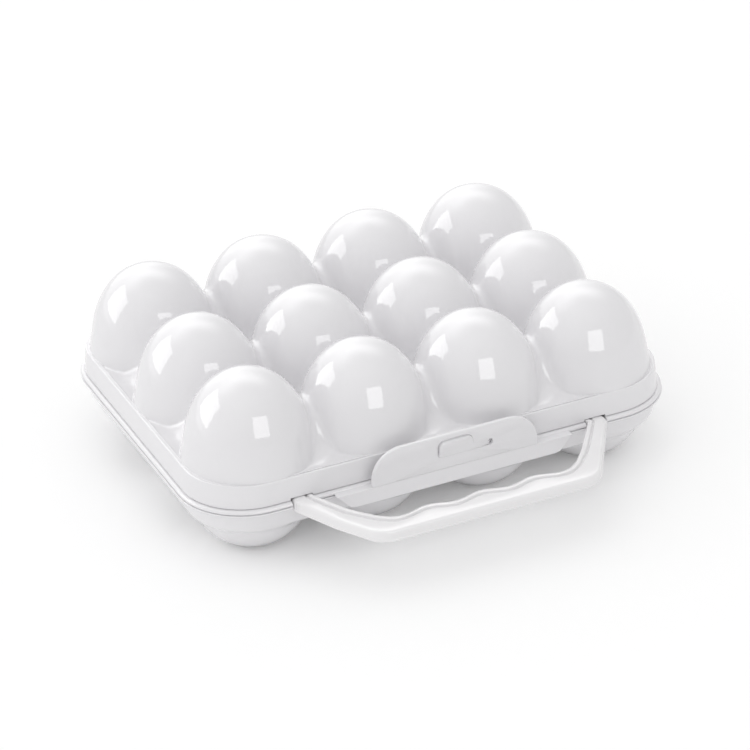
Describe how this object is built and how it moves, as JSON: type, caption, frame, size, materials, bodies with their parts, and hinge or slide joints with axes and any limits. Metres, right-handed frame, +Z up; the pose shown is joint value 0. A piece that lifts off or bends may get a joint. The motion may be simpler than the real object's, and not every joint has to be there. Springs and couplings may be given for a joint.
{
  "type": "egg carrier",
  "caption": "Moulded plastic egg carrier: cupped tray and domed lid hinged at the back, a front latch tongue and a rigid carry handle with finger waves.",
  "frame": {"origin": "centre of the bounding box's bottom face, on the plane that the cups stand on", "axes": "+X along the front, from the left to the right hinge; +Y from the handle to the hinges; +Z up"},
  "size_m": [0.2128, 0.2022, 0.0746],
  "materials": {
    "tray_plastic": "glossy white injection-moulded polypropylene",
    "handle_plastic": "satin white injection-moulded polypropylene",
    "lid_plastic": "polished white injection-moulded polypropylene",
    "tongue_plastic": "glossy white injection-moulded polypropylene"
  },
  "bodies": {
    "tray": {"egg_tray": "tray_plastic", "carry_handle": "handle_plastic"},
    "lid": {"lid": "lid_plastic"},
    "latch": {"latch_tongue": "tongue_plastic"}
  },
  "joints": [
    {"name": "lid_hinge", "type": "hinge", "parent": "tray", "child": "lid", "pos_m": [0, 0.09785, 0.02915], "axis": [-1, 0, 0], "range_deg": [0, 150]},
    {"name": "latch_fold", "type": "hinge", "parent": "tray", "child": "latch", "pos_m": [0, -0.06835, 0.0284], "axis": [1, 0, 0], "range_deg": [0, 150]}
  ]
}
